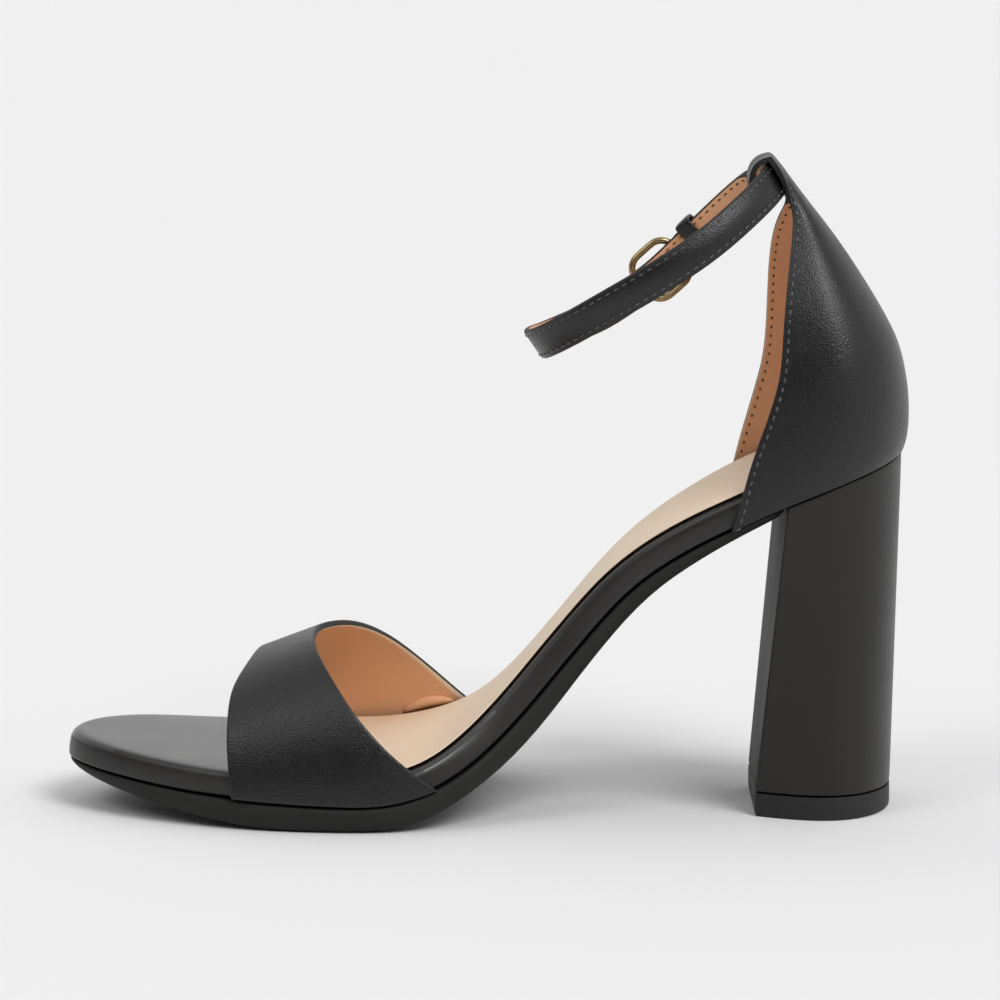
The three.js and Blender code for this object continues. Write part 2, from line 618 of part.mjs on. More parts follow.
// The strap's hole for the prong is cut through its upper layer.
const wasm = await Module();
wasm.setup();
const solidOf = (geometry) => new wasm.Manifold(new wasm.Mesh({
  numProp: 3,
  vertProperties: Float32Array.from(geometry.attributes.position.array),
  triVerts: Uint32Array.from(geometry.index.array),
}));
const holeStops = [-0.9, overStrap + 2].map((out) => ({
  middle: bucklePoint(prongRoot + 0.3, 0, out), side: buckleAlong, up: buckleAcross,
}));
const holeSolid = sweep(holeStops, circle(prongHole / 2, 8).map(([p, q]) => [p * prongHoleStretch, q]));
const cutStrap = solidOf(strapSolid).subtract(solidOf(holeSolid)).getMesh();
const strapGeometry = new THREE.BufferGeometry();
strapGeometry.setAttribute('position', new THREE.BufferAttribute(cutStrap.vertProperties, 3));
strapGeometry.setIndex(new THREE.BufferAttribute(cutStrap.triVerts, 1));
add('ankle_strap', strapGeometry, { ...leather, color: 0x1b1b1c });

// Keeper: a loop of leather that holds the tail down behind the buckle.
const keeperMiddle = ringPoint(buckleTurn + turnsOf(keeperSpacing), layerRise / 2);
const keeperHalf = strapWidth / 2 + clearance * 1.5 + keeperWall / 2;
const keeperDepth = layerRise / 2 + strapThickness / 2 + clearance * 1.5 + keeperWall / 2;
const keeperTurn = 0.9;
const keeperStops = [[1, 1, 0], [-1, 1, 90], [-1, -1, 180], [1, -1, 270]].flatMap(([a, b, from]) =>
  [0, 45, 90].map((step) => {
    const angle = radians(from + step);
    const up = keeperMiddle.side.clone().multiplyScalar(cos(angle)).addScaledVector(keeperMiddle.up, sin(angle));
    const middle = keeperMiddle.middle.clone()
      .addScaledVector(keeperMiddle.side, a * (keeperHalf - keeperTurn) + keeperTurn * cos(angle))
      .addScaledVector(keeperMiddle.up, b * (keeperDepth - keeperTurn) + keeperTurn * sin(angle));
    return { middle, side: keeperMiddle.forward, up };
  }));
add('strap_keeper', sweep(keeperStops, flatSection(keeperLength, keeperWall, 0.25), true), { ...leather, color: 0x1b1b1c });

// Heel block and tip: a D in plan, flat at the breast and round behind.
const planSteps = 12;
const tipBack = tipLength / 2;
const planShares = Array.from({ length: planSteps + 1 }, (_, i) => sin((i / planSteps) * (PI / 2)));
const planWidth = (share) => {
  const front = mix(tipFrontShare, 1, sin((PI / 2) * min(1, share / 0.5)));
  return (tipWidth / 2) * front * roundEnd((1 - share) / 0.5);
};
const tipPoint = (share, side, margin, z) => {
  const x = mix(-tipBack + margin, tipBack - margin, share);
  return new THREE.Vector3(x, side * max(0, planWidth(share) - margin * (share < 1 ? 1 : 0)), z);
};
const seatEnd = heelEnd + upperSeat + counterWall - heelInset;
const seatPoint = (share, side) => {
  const x = mix(breastTop, seatEnd, share);
  const at = min(1, (x - toeTip) / footLength);
  const wide = x > heelEnd - heelRound
    ? (ballWidth * lastColumn.inner(1) + counterWall + upperSeat - heelInset)
      * roundEnd((seatEnd - x) / (heelRound + counterWall))
    : halfWidth(arcAt(at), side) + counterWall + upperSeat - heelInset;
  return new THREE.Vector3(x, side * wide, undersideAt(x) - clearance * 1.1);
};
const around = (pointAt) => [
  ...planShares.map((share) => pointAt(share, -1)),
  ...planShares.slice(0, -1).reverse().map((share) => pointAt(share, 1)),
];
const blockFoot = tipThickness + clearance;
const blockRings = Array.from({ length: 7 }, (_, i) => around((share, side) =>
  tipPoint(share, side, 0, blockFoot).lerp(seatPoint(share, side), i / 6)));
add('heel_block', loft(blockRings), { ...leather, color: 0x1e1c1b, roughness: 0.4 });
add('heel_tip', loft([
  around((share, side) => tipPoint(share, side, tipChamfer, 0)),
  around((share, side) => tipPoint(share, side, 0, tipChamfer)),
  around((share, side) => tipPoint(share, side, 0, tipThickness)),
]), { color: 0x1a1a1a, roughness: 0.75, metalness: 0 });

export default sandal;
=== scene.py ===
"""Block-heel ankle-strap sandal, right foot: its looks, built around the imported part.

The toe points to -X, the inner side of the foot is -Y and up is +Z. Lengths are metres.
"""
import math

import bmesh
import bpy
from mathutils import Matrix, Vector
from mathutils.bvhtree import BVHTree


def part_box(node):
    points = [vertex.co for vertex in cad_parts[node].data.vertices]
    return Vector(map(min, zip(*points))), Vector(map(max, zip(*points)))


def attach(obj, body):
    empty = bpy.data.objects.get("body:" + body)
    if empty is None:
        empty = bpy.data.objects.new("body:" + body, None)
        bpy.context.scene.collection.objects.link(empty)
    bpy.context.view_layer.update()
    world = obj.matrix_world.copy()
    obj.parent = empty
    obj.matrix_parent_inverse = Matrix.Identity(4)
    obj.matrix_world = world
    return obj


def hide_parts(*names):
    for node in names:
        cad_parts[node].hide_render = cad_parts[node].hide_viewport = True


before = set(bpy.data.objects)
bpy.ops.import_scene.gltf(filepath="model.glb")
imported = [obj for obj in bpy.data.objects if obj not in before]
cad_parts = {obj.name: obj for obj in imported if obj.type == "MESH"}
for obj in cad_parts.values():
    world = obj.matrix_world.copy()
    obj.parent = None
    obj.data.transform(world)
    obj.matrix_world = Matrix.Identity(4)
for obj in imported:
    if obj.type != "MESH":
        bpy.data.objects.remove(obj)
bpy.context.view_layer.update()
scene = bpy.context.scene

# Camera: it looks across the foot at the inner side, from a little above, as the photograph was
# taken. The long lens keeps the sandal nearly free of perspective.
view_aim = Vector((-0.0824, 0, 0.0784))
camera = bpy.data.objects.new("camera", bpy.data.cameras.new("camera"))
scene.collection.objects.link(camera)
scene.camera = camera
camera.data.sensor_width = 36
camera.data.lens = 183.5
camera.data.clip_start = 0.05
camera.location = (-0.0824, -1.2849, 0.2762)
camera.rotation_euler = (view_aim - camera.location).to_track_quat("-Z", "Y").to_euler()


# Footbed: the insole board, wrapped in smooth black synthetic leather that is pulled round its
# edge. The toe end is left open and shows the satin top; the sock and the uppers cover the rest.
def merged_copy(node, flat_enough=40):
    """A copy of a CAD node's mesh, its doubles merged and its triangles joined to quads."""
    merge_distance = 2e-6
    corner_slack = 60
    form = bmesh.new()
    form.from_mesh(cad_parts[node].data)
    bmesh.ops.remove_doubles(form, verts=form.verts, dist=merge_distance)
    bmesh.ops.join_triangles(
        form, faces=form.faces, angle_face_threshold=math.radians(flat_enough),
        angle_shape_threshold=math.radians(corner_slack))
    form.normal_update()
    return form


def is_sharp(edge, angle):
    """True where an edge's two faces meet at more than the angle."""
    return len(edge.link_faces) == 2 and edge.calc_face_angle(0) > math.radians(angle)


def round_rims(form, width, angle=42, segments=2):
    """Bevels every edge that is sharper than the angle, and gives the new faces."""
    rims = [edge for edge in form.edges if is_sharp(edge, angle)]
    return bmesh.ops.bevel(
        form, geom=rims, offset=width, segments=segments, profile=0.5, affect="EDGES",
        clamp_overlap=True, material=-1)["faces"]


def finished(name, form, materials, node=None, subdivisions=0):
    """Makes a mesh the finished piece: smooth, riding on the sandal, in place of its CAD node."""
    mesh = bpy.data.meshes.new(name)
    form.to_mesh(mesh)
    form.free()
    for material in materials:
        mesh.materials.append(material)
    mesh.shade_smooth()
    piece = bpy.data.objects.new(name, mesh)
    scene.collection.objects.link(piece)
    if subdivisions:
        smoothing = piece.modifiers.new("smoothing", "SUBSURF")
        smoothing.levels = smoothing.render_levels = subdivisions
    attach(piece, "root")
    if node:
        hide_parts(node)
    return piece


def shader_group(name, inputs, outputs):
    """An empty node group with named inputs and outputs, for an effect that materials share."""
    group = bpy.data.node_groups.new(name, "ShaderNodeTree")
    for label, kind, value in inputs:
        socket = group.interface.new_socket(
            name=label, in_out="INPUT", socket_type=f"NodeSocket{kind}")
        socket.default_value = value
    for label, kind in outputs:
        group.interface.new_socket(
            name=label, in_out="OUTPUT", socket_type=f"NodeSocket{kind}")
    return group, group.nodes.new("NodeGroupInput"), group.nodes.new("NodeGroupOutput")


def placed(tree, group, values):
    """Puts a shared node group into a material, with the material's own values."""
    node = tree.nodes.new("ShaderNodeGroup")
    node.node_tree = group
    for label, value in values.items():
        node.inputs[label].default_value = value
    return node


def colour_noise(tree, scale, detail=3.0):
    """A noise on the object's own coordinates, and those coordinates' socket.

    The scale is a number, or the socket that gives it.
    """
    place = tree.nodes.new("ShaderNodeTexCoord").outputs["Object"]
    noise = tree.nodes.new("ShaderNodeTexNoise")
    noise.inputs["Detail"].default_value = detail
    tree.links.new(place, noise.inputs["Vector"])
    if isinstance(scale, (int, float)):
        noise.inputs["Scale"].default_value = scale
    else:
        tree.links.new(scale, noise.inputs["Scale"])
    return noise, place


# Handling and painted glints: cloudy change of colour and gloss, as on a surface that hands have
# touched. On the thread its lighter clouds are painted glints, pale patches in place of shine.
handling_and_glints, handling_in, handling_out = shader_group(
    "handling_and_glints",
    [("Colour", "Color", (0.02, 0.02, 0.02, 1)), ("Lighter", "Color", (0.03, 0.03, 0.03, 1)),
     ("Cloud size", "Float", 60), ("Gloss low", "Float", 0.4), ("Gloss high", "Float", 0.5)],
    [("Colour", "Color"), ("Roughness", "Float")],
)
cloud, _ = colour_noise(handling_and_glints, handling_in.outputs["Cloud size"], 4)
cloud_mix = handling_and_glints.nodes.new("ShaderNodeMix")
cloud_mix.data_type = "RGBA"
cloud_gloss = handling_and_glints.nodes.new("ShaderNodeMapRange")
cloud_gloss.inputs["From Min"].default_value = 0.3
cloud_gloss.inputs["From Max"].default_value = 0.7
for giver, taker in (
        (cloud.outputs["Fac"], cloud_mix.inputs["Factor"]),
        (handling_in.outputs["Colour"], cloud_mix.inputs["A"]),
        (handling_in.outputs["Lighter"], cloud_mix.inputs["B"]),
        (cloud.outputs["Fac"], cloud_gloss.inputs["Value"]),
        (handling_in.outputs["Gloss low"], cloud_gloss.inputs["To Min"]),
        (handling_in.outputs["Gloss high"], cloud_gloss.inputs["To Max"]),
        (cloud_mix.outputs["Result"], handling_out.inputs["Colour"]),
        (cloud_gloss.outputs["Result"], handling_out.inputs["Roughness"])):
    handling_and_glints.links.new(giver, taker)

# Leather grain: small raised cells with fine wrinkles between them, as a bumped normal.
grain, grain_in, grain_out = shader_group(
    "leather grain",
    [("Cells", "Float", 1700), ("Wrinkles", "Float", 420), ("Depth", "Float", 0.00006),
     ("Strength", "Float", 0.6)],
    [("Normal", "Vector")],
)
wrinkle_share = 0.7
grain_wrinkles, grain_place = colour_noise(grain, grain_in.outputs["Wrinkles"], 6)
grain_cells = grain.nodes.new("ShaderNodeTexVoronoi")
grain_cells.feature = "SMOOTH_F1"
grain_cells.inputs["Smoothness"].default_value = 0.6
grain_sum = grain.nodes.new("ShaderNodeMath")
grain_sum.operation = "MULTIPLY_ADD"
grain_sum.inputs[1].default_value = wrinkle_share
grain_bump = grain.nodes.new("ShaderNodeBump")
for giver, taker in (
        (grain_place, grain_cells.inputs["Vector"]),
        (grain_in.outputs["Cells"], grain_cells.inputs["Scale"]),
        (grain_wrinkles.outputs["Fac"], grain_sum.inputs[0]),
        (grain_cells.outputs["Distance"], grain_sum.inputs[2]),
        (grain_sum.outputs["Value"], grain_bump.inputs["Height"]),
        (grain_in.outputs["Depth"], grain_bump.inputs["Distance"]),
        (grain_in.outputs["Strength"], grain_bump.inputs["Strength"]),
        (grain_bump.outputs["Normal"], grain_out.inputs["Normal"])):
    grain.links.new(giver, taker)


def leather_finish(name, colour, lighter, gloss, cells, wrinkles, depth, strength, cloud_size=60,
                   coat=0.0, sheen=0.0, specular=0.35):
    """A leather, lining, thread or rubber finish: clouded colour and gloss under a bumped grain.

    gloss holds the lowest and the highest roughness. cells and wrinkles are the grain's two
    scales, depth is its height in metres and strength its share.
    """
    material = bpy.data.materials.new(name)
    material.use_nodes = True
    tree = material.node_tree
    surface = tree.nodes["Principled BSDF"]
    surface.inputs["Coat Weight"].default_value = coat
    surface.inputs["Coat Roughness"].default_value = 0.3
    surface.inputs["Sheen Weight"].default_value = sheen
    surface.inputs["Specular IOR Level"].default_value = specular
    clouded = placed(tree, handling_and_glints, {
        "Colour": (*colour, 1), "Lighter": (*lighter, 1), "Cloud size": cloud_size,
        "Gloss low": gloss[0], "Gloss high": gloss[1]})
    grained = placed(tree, grain, {
        "Cells": cells, "Wrinkles": wrinkles, "Depth": depth, "Strength": strength})
    tree.links.new(clouded.outputs["Colour"], surface.inputs["Base Color"])
    tree.links.new(clouded.outputs["Roughness"], surface.inputs["Roughness"])
    tree.links.new(grained.outputs["Normal"], surface.inputs["Normal"])
    return material


footbed_top_slope = 0.6  # least upward part of a top face's normal
footbed_wrap = leather_finish(
    "footbed wrap", colour=(0.014, 0.0125, 0.012), lighter=(0.022, 0.020, 0.019),
    gloss=(0.28, 0.36), cells=2600, wrinkles=700, depth=0.00003, strength=0.25,
    coat=0.6, specular=0.5)
footbed_edge = leather_finish(
    "footbed edge wrap", colour=(0.014, 0.0125, 0.012), lighter=(0.022, 0.020, 0.019),
    gloss=(0.36, 0.46), cells=2600, wrinkles=700, depth=0.00003, strength=0.25,
    coat=0.1, specular=0.4)
footbed_form = merged_copy("footbed")
for face in footbed_form.faces:
    face.material_index = 0 if face.normal.z > footbed_top_slope else 1
finished("footbed", footbed_form, [footbed_wrap, footbed_edge], "footbed", 2)

# Outsole: a sheet of matt black rubber under the forefoot and waist, cemented on, with its edge
# turned in. It ends under the heel's breast.
sole_rubber = leather_finish(
    "sole rubber", colour=(0.010, 0.0095, 0.009), lighter=(0.016, 0.015, 0.014),
    gloss=(0.62, 0.78), cells=1200, wrinkles=260, depth=0.00005, strength=0.35, cloud_size=40)
finished("outsole", merged_copy("outsole"), [sole_rubber], "outsole", 1)

# Sock: the cream lining sheet glued on the footbed from under the band to the heel.
# It is thin coated fabric over a little foam, so its rim rounds down to the black edge.
sock_cloth = leather_finish(
    "sock cream", colour=(0.78, 0.60, 0.42), lighter=(0.86, 0.70, 0.53),
    gloss=(0.50, 0.62), cells=1500, wrinkles=300, depth=0.00004, strength=0.3,
    cloud_size=25, sheen=0.1)
finished("sock", merged_copy("sock"), [sock_cloth], "sock", 2)

# Front band: two layers of soft synthetic leather, grained black outside and tan inside, with
# painted edges. It is pulled over the last and tucked under the footbed on both sides.
band_axis_height = 0.016
band_rim_rounding = 0.0005
lining_place, paint_place, pale_place = 1, 2, 3  # places in an upper's list of materials
black_leather = leather_finish(
    "black leather", colour=(0.0034, 0.0036, 0.0042), lighter=(0.0075, 0.0077, 0.0088),
    gloss=(0.30, 0.40), cells=2600, wrinkles=1100, depth=0.00008, strength=1.0, specular=0.5)
tan_lining = leather_finish(
    "tan lining", colour=(0.66, 0.325, 0.165), lighter=(0.76, 0.43, 0.24),
    gloss=(0.48, 0.62), cells=1300, wrinkles=260, depth=0.00005, strength=0.4, cloud_size=35)
edge_paint = leather_finish(
    "edge paint", colour=(0.016, 0.015, 0.015), lighter=(0.03, 0.028, 0.027),
    gloss=(0.45, 0.6), cells=900, wrinkles=300, depth=0.00005, strength=0.4)
pale_edge = leather_finish(
    "cut lining edge", colour=(0.66, 0.49, 0.33), lighter=(0.78, 0.62, 0.45),
    gloss=(0.5, 0.62), cells=900, wrinkles=300, depth=0.00004, strength=0.4)


def is_rim(face, sharp=50):
    """True for a wall's narrow cut edge: a quad between two sharp bends."""
    bends = [is_sharp(edge, sharp) for edge in face.edges]
    return len(bends) == 4 and (bends[0] and bends[2] or bends[1] and bends[3])


def line_inside(lined_faces, rim_faces):
    """Gives the lined side's faces the lining, and those of the cut edge the edge paint."""
    for face in lined_faces:
        face.material_index = lining_place
    for face in rim_faces:
        face.material_index = paint_place


def pale_cut(round_faces):
    """Gives the strip of a rounded rim that borders on the lining the lining's pale cut edge."""
    strips = set(round_faces)
    for face in strips:
        beside = [other for edge in face.edges for other in edge.link_faces
                  if other not in strips]
        if any(other.material_index == lining_place for other in beside):
            face.material_index = pale_place


band_form = merged_copy("vamp_strap")
band_lining, band_rim = [], []
for face in band_form.faces:
    centre = face.calc_center_median()
    inward = Vector((centre.x, 0, band_axis_height)) - centre
    if is_rim(face):
        band_rim.append(face)
    elif face.normal.dot(inward.normalized()) > 0:
        band_lining.append(face)
line_inside(band_lining, band_rim)
pale_cut(round_rims(band_form, band_rim_rounding))
band = finished("vamp_strap", band_form, [black_leather, tan_lining, edge_paint, pale_edge],
                "vamp_strap", 2)


# Lining fold: where the band's lining is pulled down beside the sock on the outer side, it
# puckers to one short soft fold that lies along the sock.
def finished_surface(piece):
    """The piece's surface after its modifiers, for laying things on."""
    bpy.context.view_layer.update()
    return BVHTree.FromObject(piece, bpy.context.evaluated_depsgraph_get())


fold_middle = Vector((-0.1015, 0, 0.0176))
fold_length, fold_width, fold_height = 0.014, 0.0024, 0.0030
fold_slope = 0.25
fold_arch = 0.0012
band_ground = finished_surface(band)
fold_ends = [
    band_ground.ray_cast(fold_middle + Vector((step, 0, step * fold_slope)), Vector((0, 1, 0)))[0]
    for step in (-fold_length / 2, fold_length / 2)
]
fold_along = (fold_ends[1] - fold_ends[0]).normalized()
fold_across = Vector((0, 0, 1)).cross(fold_along).normalized()
fold_turn = Matrix((fold_along, fold_across, fold_along.cross(fold_across))).transposed().to_4x4()
fold_form = bmesh.new()
bmesh.ops.create_uvsphere(fold_form, u_segments=24, v_segments=14, radius=0.5)
bmesh.ops.scale(fold_form, verts=fold_form.verts, vec=(fold_length, fold_width, fold_height))
for vert in fold_form.verts:
    vert.co.z += fold_arch * (math.cos(vert.co.x / fold_length * math.pi) - 0.5)
bmesh.ops.transform(fold_form, verts=fold_form.verts,
                    matrix=Matrix.Translation(sum(fold_ends, Vector()) / 2) @ fold_turn)
finished("lining_fold", fold_form, [tan_lining])

# Heel counter: grained leather over a stiffener with a tan lining, lasted under the footbed round
# the heel. Its top is drawn out to a tab that folds over the ankle strap. A row of stitches runs
# down each front edge.
stitch_pitch = 0.00245
counter_stitch_inset = 0.0014
counter_rim_rounding = 0.0004
counter_axis_foot, counter_axis_lean = -0.006, -0.016
counter_shortest_edge = 0.0005
tab_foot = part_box("ankle_strap")[1].z - 0.0125
stitches_top = tab_foot + 0.003
counter_form = merged_copy("heel_counter")


def axis_at(height):
    """Where the foot's axis lies inside the counter at a height."""
    low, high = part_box("heel_counter")
    share = (height - low.z) / (high.z - low.z)
    return Vector((counter_axis_foot + counter_axis_lean * share, 0, height))


counter_lining, counter_rim, counter_foot = [], [], []
for face in counter_form.faces:
    centre = face.calc_center_median()
    inward = axis_at(centre.z) - centre
    facing = face.normal.dot(inward.normalized())
    if centre.z > tab_foot:
        continue
    if face.normal.z < -0.7:
        counter_foot.append(face)
    elif is_rim(face) or (abs(facing) < 0.5 and face.normal.x < -0.6):
        counter_rim.append(face)
    elif facing > 0:
        counter_lining.append(face)
line_inside(counter_lining, counter_rim)
rim_set, lining_set, foot_set = set(counter_rim), set(counter_lining), set(counter_foot)


def border_row(form, face_beside):
    """Follows borders of a mesh: places with the way in from the border and the way out.

    face_beside(edge) gives the face that the row lies on, or None for an edge off the border.
    """
    links = {}
    for edge in form.edges:
        face = face_beside(edge)
        if face is None:
            continue
        for vert in edge.verts:
            links.setdefault(vert, []).append((edge, face))
    ends = [vert for vert, joined in links.items() if len(joined) == 1]
    rows, seen = [], set()
    for start in ends:
        if start in seen:
            continue
        row, vert, came = [], start, None
        while vert is not None and vert not in seen:
            seen.add(vert)
            way_in, way_out = Vector(), Vector()
            for edge, face in links[vert]:
                along = (edge.verts[1].co - edge.verts[0].co).normalized()
                middle = (edge.verts[0].co + edge.verts[1].co) / 2
                inside = face.calc_center_median() - middle
                way_in += (inside - along * inside.dot(along)).normalized()
                way_out += face.normal
            row.append((vert.co.copy(), way_in.normalized(), way_out.normalized()))
            onward = [edge for edge, _ in links[vert] if edge is not came]
            came = onward[0] if onward else None
            vert = came.other_vert(vert) if came else None
        rows.append(row)
    return rows


def evenly(row, pitch, inset=0.0):
    """Even places along a row, set in from the border: place, direction and way out."""
    places, left = [], pitch / 2
    for (a, in_a, out_a), (b, in_b, out_b) in zip(row, row[1:]):
        start, end = a + in_a * inset, b + in_b * inset
        length = (end - start).length
        while left < length:
            share = left / length
            places.append((start.lerp(end, share), (end - start).normalized(),
                           out_a.lerp(out_b, share).normalized()))
            left += pitch
        left -= length
    return places


def stitch_row(places, ground, length, width, lift=0.0001):
    """A mesh of short rounded stitches that lie on a surface, one at each place."""
    farthest = 0.0015
    flatness = 0.8
    form = bmesh.new()
    for place, along, out in places:
        found, normal, _, _ = ground.find_nearest(place)
        if found is None or (found - place).length > farthest:
            continue
        if normal.dot(out) < 0:
            normal = out
        along = (along - normal * along.dot(normal)).normalized()
        turn = Matrix((along, normal.cross(along), normal)).transposed().to_4x4()
        stitch = bmesh.ops.create_uvsphere(form, u_segments=8, v_segments=5, radius=0.5)["verts"]
        bmesh.ops.scale(form, verts=stitch, vec=(length, width, width * flatness))
        bmesh.ops.transform(form, verts=stitch,
                            matrix=Matrix.Translation(found + normal * lift) @ turn)
    return form


def counter_border(side, lined):
    """Picks the counter's front border on one side of the foot, on its outer or lined face."""
    def face_beside(edge):
        if len(edge.link_faces) != 2 or edge.calc_length() < counter_shortest_edge:
            return None
        middle = (edge.verts[0].co + edge.verts[1].co) / 2
        if middle.y * side < 0.001 or middle.z > stitches_top:
            return None
        on_rim = [face in rim_set for face in edge.link_faces]
        if on_rim.count(True) != 1:
            return None
        face = edge.link_faces[on_rim.index(False)]
        if (face in lining_set) != lined or face in foot_set:
            return None
        return face
    return face_beside


counter_rows = {
    (side, lined): max(border_row(counter_form, counter_border(side, lined)), key=len, default=[])
    for side in (-1, 1) for lined in (False, True)
}
pale_cut(round_rims(counter_form, counter_rim_rounding))
counter = finished("heel_counter", counter_form,
                   [black_leather, tan_lining, edge_paint, pale_edge],
                   "heel_counter", 2)

# Stitches: waxed black thread, a stitch to each two and a half millimetres; on the lining only
# the tight under-thread in its holes shows. The outer thread's pale grey clouds are painted
# glints: some stitches are painted light in place of the shine that catches them.
outer_stitch = (0.0015, 0.0007)  # length and width
lining_stitch = (0.0008, 0.00055)
# Painted glints: the lighter tone (0.14) paints random stitches pale in place of their shine.
thread = leather_finish(
    "thread", colour=(0.02, 0.02, 0.021), lighter=(0.14, 0.14, 0.145),
    gloss=(0.24, 0.36), cells=5000, wrinkles=2500, depth=0.00002, strength=0.5, cloud_size=700)
under_thread = leather_finish(
    "under-thread", colour=(0.05, 0.03, 0.02), lighter=(0.09, 0.055, 0.035),
    gloss=(0.5, 0.6), cells=5000, wrinkles=2500, depth=0.00002, strength=0.5, cloud_size=700)
counter_ground = finished_surface(counter)
for (side, lined), row in counter_rows.items():
    places = evenly(row, stitch_pitch, counter_stitch_inset)
    form = stitch_row(places, counter_ground, *(lining_stitch if lined else outer_stitch))
    place_name = ("inner" if side < 0 else "outer") + ("_lining" if lined else "")
    finished(f"counter_stitches_{place_name}", form, [under_thread if lined else thread])

# Ankle strap: one narrow strip, grained black outside and tan inside, its edges painted, with a
# row of stitches along each edge. It runs through the tab, round the ankle and through the buckle
# on the outer side.
strap_slope = math.radians(34.9)
strap_across = Vector((-math.sin(strap_slope), 0, math.cos(strap_slope)))
strap_middle = sum(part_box("ankle_strap"), Vector()) / 2
strap_stitch_inset = 0.0009
strap_shortest_edge = 0.0012
strap_stitches = {  # length, width and lift
    "grained": (0.0016, 0.0005, 0.00008),
    "lined": (0.0012, 0.00042, 0.00008),
}
strap_form = merged_copy("ankle_strap", flat_enough=12)


def strap_side(face):
    """Says which side of the strap a face is on: grained, lined, the cut edge or its chamfer."""
    tilt = face.normal.dot(strap_across)
    if abs(tilt) > 0.85:
        return "edge"
    if abs(tilt) > 0.4:
        return "chamfer"
    outward = face.calc_center_median() - strap_middle
    outward -= strap_across * outward.dot(strap_across)
    return "grained" if face.normal.dot(outward) > 0 else "lined"


strap_sides = {face: strap_side(face) for face in strap_form.faces}
line_inside([face for face, side in strap_sides.items() if side == "lined"],
            [face for face, side in strap_sides.items() if side in ("edge", "chamfer")])


def strap_border(wanted, upper):
    """Picks the strap's long border on its grained or lined side, upper or lower."""
    def face_beside(edge):
        if len(edge.link_faces) != 2 or edge.calc_length() < strap_shortest_edge:
            return None
        sides = [strap_sides[face] for face in edge.link_faces]
        if "chamfer" not in sides or wanted not in sides:
            return None
        chamfer = edge.link_faces[sides.index("chamfer")]
        if (chamfer.normal.dot(strap_across) > 0) != upper:
            return None
        return edge.link_faces[sides.index(wanted)]
    return face_beside


strap_rows = {
    (wanted, upper): border_row(strap_form, strap_border(wanted, upper))
    for wanted in ("grained", "lined") for upper in (True, False)
}
strap = finished("ankle_strap", strap_form, [black_leather, tan_lining, edge_paint],
                 "ankle_strap", 0)
strap_ground = finished_surface(strap)
for (wanted, upper), rows in strap_rows.items():
    places = [spot for row in rows if len(row) > 3
              for spot in evenly(row, stitch_pitch, strap_stitch_inset)]
    form = stitch_row(places, strap_ground, *strap_stitches[wanted])
    place_name = wanted + ("_upper" if upper else "_lower")
    finished(f"strap_stitches_{place_name}", form,
             [thread if wanted == "grained" else under_thread])

# Spare holes: two more holes are punched through the tail beyond the buckle, each pressed a
# little hollow, with the dark painted cut edge round its rim. Its middle is a near-black disc,
# painted shade laid where the open hole is.
spare_hole_places = (0.0095, 0.0165)  # from the tail's end
tail_step = 0.0005
hole_radius = 0.00105
hole_lift = 0.00004
hole_lip_width, hole_lip_height = 0.00022, 0.00007
hole_cut_width, hole_cut_depth = 0.00012, 0.00008
# Painted shade: a near-black sheet stands for the inside of each open hole.
hole_painted_shade = leather_finish(
    "hole", colour=(0.004, 0.0035, 0.003), lighter=(0.008, 0.007, 0.006),
    gloss=(0.7, 0.8), cells=900, wrinkles=300, depth=0.00003, strength=0.3)
upper_row, lower_row = (max(strap_rows["grained", upper], key=len) for upper in (True, False))
strap_tail = min(
    (end[0] for end in (upper_row[0], upper_row[-1])),
    key=lambda end: min((end - other[0]).length for other in (lower_row[0], lower_row[-1])))


def from_tail(row):
    """The row, turned so that it starts at the strap's tapered tail."""
    starts_there = (row[0][0] - strap_tail).length < (row[-1][0] - strap_tail).length
    return row if starts_there else row[::-1]


tail_rows = [evenly(from_tail(row), tail_step) for row in (upper_row, lower_row)]
holes_form = bmesh.new()
for reach in spare_hole_places:
    upper_place, lower_place = (row[int(reach / tail_step)] for row in tail_rows)
    out = upper_place[2]
    middle = (upper_place[0] + lower_place[0]) / 2 + out * hole_lift
    along = (upper_place[1] - out * upper_place[1].dot(out)).normalized()
    turn = Matrix((along, out.cross(along), out)).transposed().to_4x4()
    disc = bmesh.ops.create_circle(holes_form, cap_ends=True, segments=20, radius=hole_radius,
                                   matrix=Matrix.Translation(middle) @ turn)
    face = disc["verts"][0].link_faces[0]
    bmesh.ops.inset_region(holes_form, faces=[face], thickness=hole_lip_width,
                           depth=hole_lip_height)
    bmesh.ops.inset_region(holes_form, faces=[face], thickness=hole_cut_width,
                           depth=-hole_cut_depth)
    # The middle disc gets the painted shade of the open hole.
    face.material_index = 1
finished("spare_holes", holes_form, [edge_paint, hole_painted_shade])

# Keeper: a narrow loop of the same leather, glued shut. It sits behind the buckle and holds the
# strap's tail down.
keeper_form = merged_copy("strap_keeper", flat_enough=12)
finished("strap_keeper", keeper_form, [black_leather], "strap_keeper", 1)

# Buckle: a rounded square of plated zinc wire with its prong hooked on the hinge bar. The plating
# is an antique gold that has gone darker in places.
buckle_gold = bpy.data.materials.new("antique gold plating")
buckle_gold.use_nodes = True
gold_tree = buckle_gold.node_tree
gold_surface = gold_tree.nodes["Principled BSDF"]
gold_surface.inputs["Metallic"].default_value = 1.0
gold_cloud = placed(gold_tree, handling_and_glints, {
    "Colour": (0.10, 0.07, 0.035, 1), "Lighter": (0.62, 0.46, 0.24, 1), "Cloud size": 350,
    "Gloss low": 0.2, "Gloss high": 0.38})
gold_tree.links.new(gold_cloud.outputs["Colour"], gold_surface.inputs["Base Color"])
gold_tree.links.new(gold_cloud.outputs["Roughness"], gold_surface.inputs["Roughness"])
for buckle_part in ("buckle_frame", "buckle_prong"):
    finished(buckle_part, merged_copy(buckle_part), [buckle_gold], buckle_part, 2)

